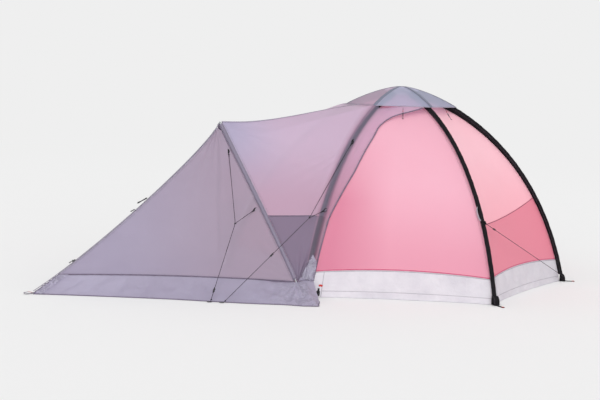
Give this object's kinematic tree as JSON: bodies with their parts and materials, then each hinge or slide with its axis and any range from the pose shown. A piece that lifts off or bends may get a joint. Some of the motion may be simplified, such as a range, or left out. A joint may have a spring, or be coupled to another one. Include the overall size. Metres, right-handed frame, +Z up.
{
  "type": "dome tent",
  "caption": "Pitched mountaineering dome tent: crossed sleeved poles, pink canopy, grey tub floor and a lilac hooped vestibule with a zipped door and guy lines",
  "frame": {"origin": "on the ground at the centre of the groundsheet, under the crossing of the dome poles", "axes": "+Z up, -X out through the vestibule, +X toward the foot end, -Y the tent's left side with the guy lines"},
  "size_m": [3.4783, 2.364, 1.2364],
  "materials": {
    "pink_cloth": "thin matte pink canopy cloth, lit through",
    "lilac_cloth": "thin lilac-grey coated cloth with a soft sheen",
    "dark_lilac_cloth": "double layer of lilac-grey cloth, darker and less clear",
    "pale_cloth": "pale grey coated floor cloth, slightly shiny",
    "black_webbing": "matte black woven tape",
    "black_plastic": "moulded black plastic",
    "pole_alloy": "drawn tube",
    "dark_cord": "braided dark grey cord"
  },
  "bodies": {
    "tent": {"canopy_panel_front": "pink_cloth", "canopy_panel_left_front": "pink_cloth", "canopy_panel_left_rear": "pink_cloth", "canopy_panel_rear": "pink_cloth", "canopy_panel_right_front": "pink_cloth", "canopy_panel_right_rear": "pink_cloth", "cap_hook": "black_plastic", "corner_buckle_left": "black_plastic", "corner_buckle_right": "black_plastic", "corner_webbing_front_left": "black_webbing", "corner_webbing_front_right": "black_webbing", "corner_webbing_left": "black_webbing", "corner_webbing_rear_left": "black_webbing", "corner_webbing_rear_right": "black_webbing", "corner_webbing_right": "black_webbing", "cover_cap": "lilac_cloth", "cover_roof_left": "lilac_cloth", "cover_roof_right": "lilac_cloth", "cover_side_left": "dark_lilac_cloth", "cover_side_right": "dark_lilac_cloth", "crown_patch": "pink_cloth", "dome_pole_front_left_to_rear_right": "pole_alloy", "dome_pole_left_to_right": "pole_alloy", "dome_pole_rear_left_to_front_right": "pole_alloy", "foot_end_liner": "pink_cloth", "groundsheet": "pale_cloth", "guy_line_front_pole": "dark_cord", "guy_line_front_pole_branch": "dark_cord", "guy_line_hoop": "dark_cord", "guy_line_hoop_branch": "dark_cord", "guy_line_side_pole": "dark_cord", "hoop_elbow": "pole_alloy", "hoop_foot_cup_left": "black_plastic", "hoop_foot_cup_right": "black_plastic", "hoop_leg_left": "pole_alloy", "hoop_leg_right": "pole_alloy", "hoop_sleeve_left": "lilac_cloth", "hoop_sleeve_right": "lilac_cloth", "pole_sleeve_front_left": "black_webbing", "pole_sleeve_front_right": "black_webbing", "pole_sleeve_left": "black_webbing", "pole_sleeve_rear_left": "black_webbing", "pole_sleeve_rear_right": "black_webbing", "pole_sleeve_right": "black_webbing", "skirt_left": "lilac_cloth", "skirt_right_corner": "lilac_cloth", "tip_webbing_loop": "black_webbing", "tub_wall": "pale_cloth", "vestibule_panel_left": "lilac_cloth", "vestibule_zip": "black_webbing"},
    "inner_door": {"inner_door": "pink_cloth"},
    "inner_door_slider": {"inner_door_slider": "black_plastic"},
    "vestibule_door": {"vestibule_door_right": "lilac_cloth", "skirt_right_front": "lilac_cloth"},
    "vestibule_zip_slider": {"vestibule_zip_slider": "black_plastic"},
    "tensioner_hoop": {"tensioner_hoop": "black_plastic"},
    "tensioner_front_pole": {"tensioner_front_pole": "black_plastic"},
    "tensioner_side_pole": {"tensioner_side_pole": "black_plastic"},
    "tieback_toggle_upper": {"tieback_toggle_upper": "black_plastic"},
    "tieback_toggle_lower": {"tieback_toggle_lower": "black_plastic"}
  },
  "joints": [
    {"name": "inner_door_swing", "type": "hinge", "parent": "tent", "child": "inner_door", "pos_m": [-0.8839, 0, 0.23154], "axis": [0, 1, 0], "range_deg": [0, 80]},
    {"name": "vestibule_door_swing", "type": "hinge", "parent": "tent", "child": "vestibule_door", "pos_m": [-1.2593, 0.0188, 1.0063], "axis": [0.2053, 0.5333, -0.8206], "range_deg": [0, 80]},
    {"name": "inner_door_zip_slide", "type": "slide", "parent": "tent", "child": "inner_door_slider", "axis": [0.312, -0.1195, 0.9425], "range_m": [0, 0.08]},
    {"name": "vestibule_zip_slide", "type": "slide", "parent": "tent", "child": "vestibule_zip_slider", "axis": [0.786, 0, 0.6182], "range_m": [0, 0.36]},
    {"name": "tensioner_hoop_slide", "type": "slide", "parent": "tent", "child": "tensioner_hoop", "axis": [-0.4331, -0.3465, -0.8321], "range_m": [-0.3, 0.03]},
    {"name": "tensioner_front_pole_slide", "type": "slide", "parent": "tent", "child": "tensioner_front_pole", "axis": [-0.7698, -0.0793, -0.6334], "range_m": [-0.25, 0.3]},
    {"name": "tensioner_side_pole_slide", "type": "slide", "parent": "tent", "child": "tensioner_side_pole", "axis": [0.8548, 0.3434, -0.389], "range_m": [-0.04, 0.45]},
    {"name": "tieback_toggle_upper_turn", "type": "hinge", "parent": "tent", "child": "tieback_toggle_upper", "pos_m": [-1.72628, 0, 0.53527], "axis": [0, 1, 0], "range_deg": [0, 90]},
    {"name": "tieback_toggle_lower_turn", "type": "hinge", "parent": "tent", "child": "tieback_toggle_lower", "pos_m": [-1.80217, 0, 0.46857], "axis": [0, 1, 0], "range_deg": [0, 90]}
  ]
}
